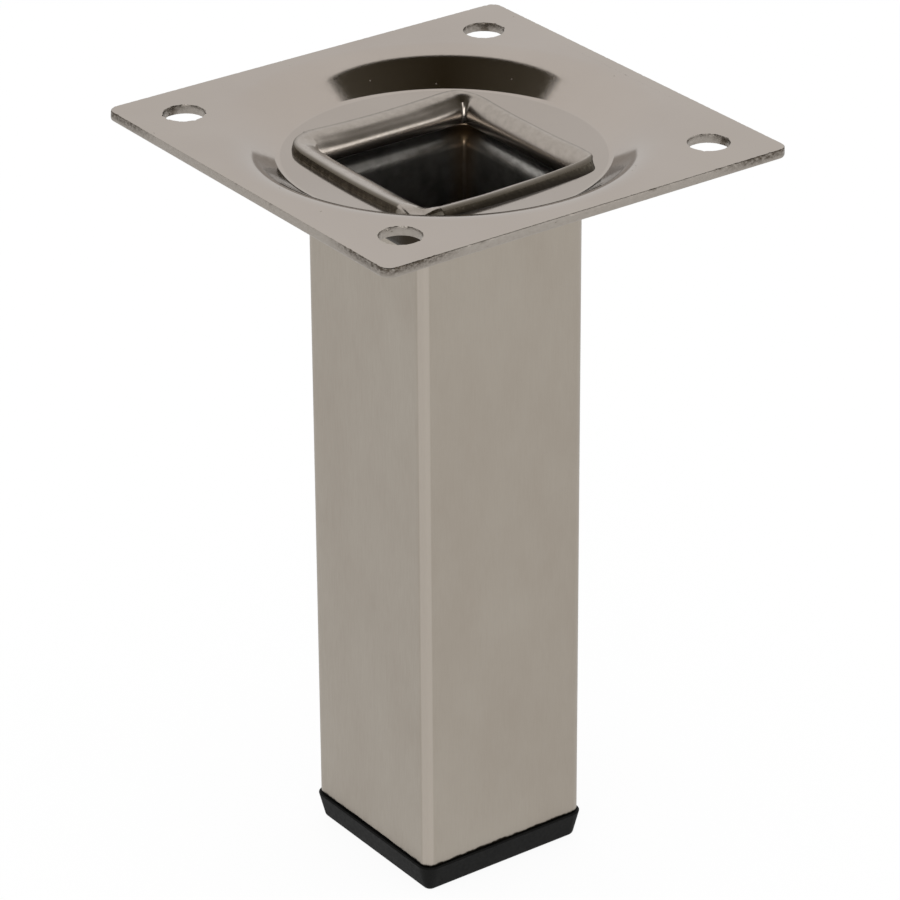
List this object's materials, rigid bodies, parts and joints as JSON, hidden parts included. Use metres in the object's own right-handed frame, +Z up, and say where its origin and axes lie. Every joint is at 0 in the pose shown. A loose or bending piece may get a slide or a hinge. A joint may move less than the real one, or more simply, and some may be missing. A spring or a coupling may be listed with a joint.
{
  "type": "square metal furniture leg",
  "caption": "Short square tube leg with a dished, screw-on mounting plate clamped between a folded bead and lip at the top, and a plastic cap at the foot.",
  "frame": {"origin": "on the floor under the middle of the foot", "axes": "+Z up along the tube towards the mounting face, +X and +Y square to the tube's faces and the plate's edges"},
  "size_m": [0.06, 0.06, 0.1],
  "materials": {
    "plate_metal": "bright nickel plating, mirror-like, with bare sheared edges",
    "tube_metal": "satin nickel plating, finely brushed",
    "cap_plastic": "black moulded plastic, low sheen"
  },
  "bodies": {
    "root": {"mounting_plate": "plate_metal", "leg_tube": "tube_metal", "foot_cap": "cap_plastic"}
  },
  "joints": []
}
